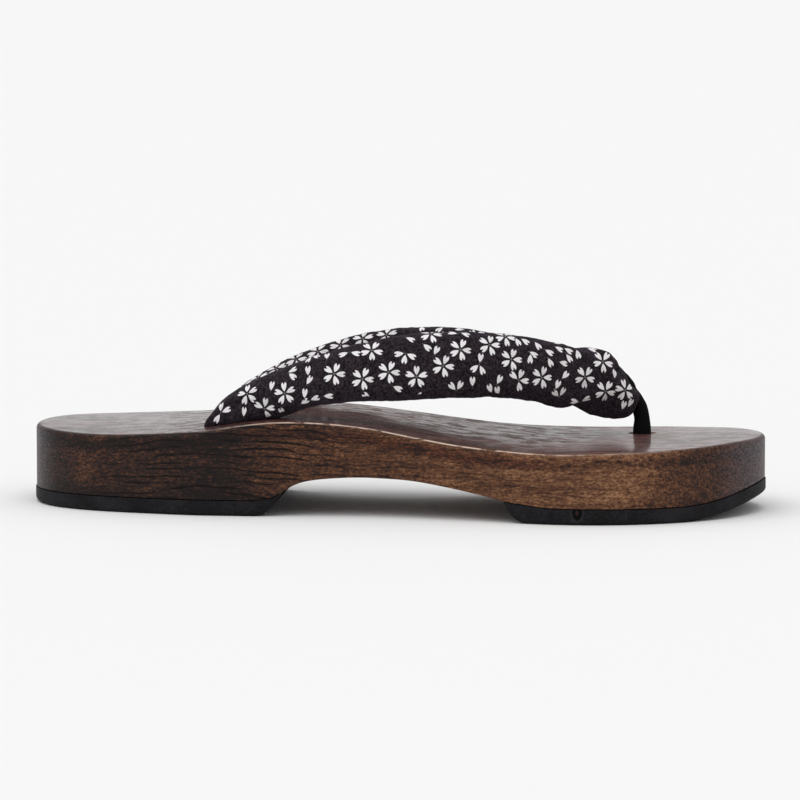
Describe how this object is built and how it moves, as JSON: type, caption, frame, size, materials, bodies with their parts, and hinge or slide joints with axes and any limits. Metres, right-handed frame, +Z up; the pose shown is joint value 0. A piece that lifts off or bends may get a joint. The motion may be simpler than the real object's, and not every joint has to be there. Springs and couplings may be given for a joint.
{
  "type": "wooden thong sandal",
  "caption": "Low wooden thong sandal for the right foot, with an arched board, rubber pads under heel and forefoot, and a padded cloth strap on a cord toe post.",
  "frame": {"origin": "centre of the bounding box's base, on the floor under the middle of the outline", "axes": "+X from heel to toe, +Y to the inner side of the foot, +Z up"},
  "size_m": [0.2456, 0.0955, 0.0599],
  "materials": {
    "lacquered_wood": "dark stained wood under glossy lacquer",
    "pad_rubber": "matte black rubber",
    "blossom_cloth": "black crepe cotton with small off-white cherry blossoms",
    "post_cord": "plain black cloth cord"
  },
  "bodies": {
    "root": {"sole_board": "lacquered_wood", "heel_pad": "pad_rubber", "toe_pad": "pad_rubber", "strap": "blossom_cloth", "toe_post": "post_cord"}
  },
  "joints": []
}
